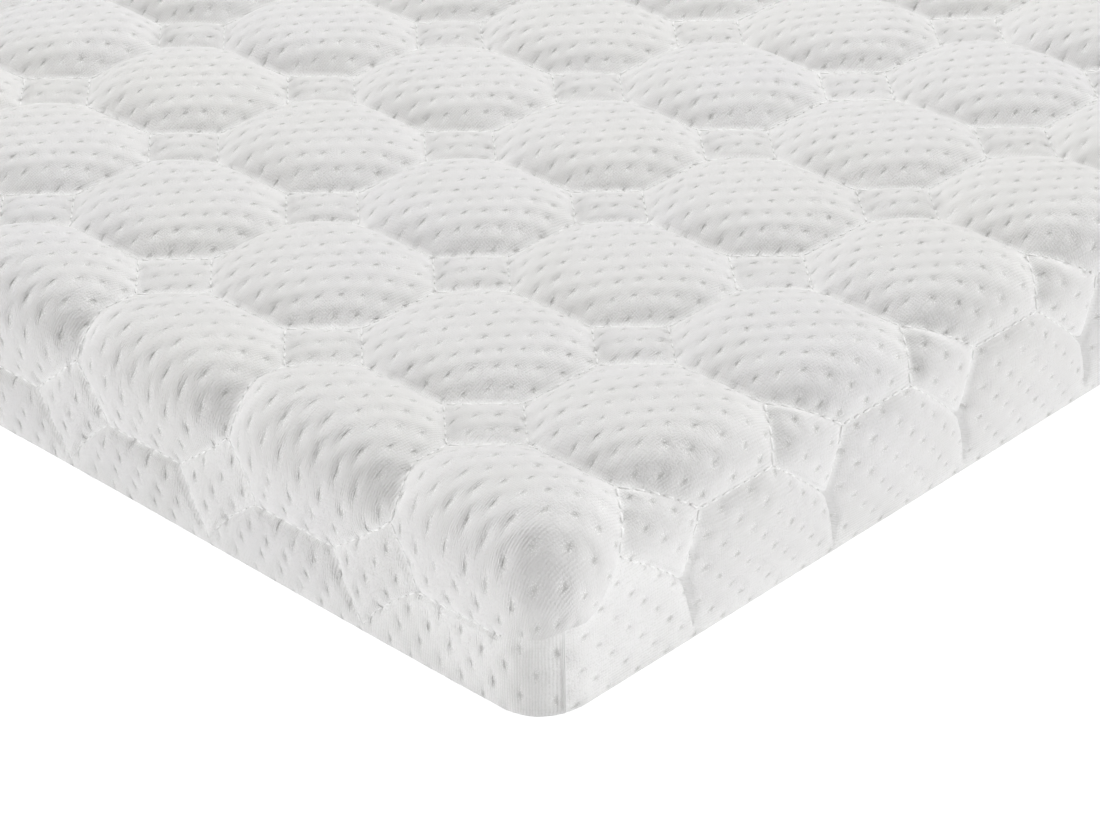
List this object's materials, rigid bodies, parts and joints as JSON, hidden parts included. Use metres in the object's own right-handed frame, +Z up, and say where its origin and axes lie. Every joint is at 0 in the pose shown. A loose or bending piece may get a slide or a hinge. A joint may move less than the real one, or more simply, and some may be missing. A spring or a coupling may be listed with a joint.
{
  "type": "mattress topper",
  "caption": "Flat mattress topper: a filled slab in a white knit cover, quilted in raised octagons with small squares between them, its edges softly rounded.",
  "frame": {"origin": "middle of the underside, which lies flat on the bed", "axes": "+X along the length, +Y across the width, +Z up out of the quilted top"},
  "size_m": [2.0098, 0.9144, 0.072],
  "materials": {
    "knit_cover": "matt"
  },
  "bodies": {
    "root": {"quilted_topper": "knit_cover"}
  },
  "joints": []
}
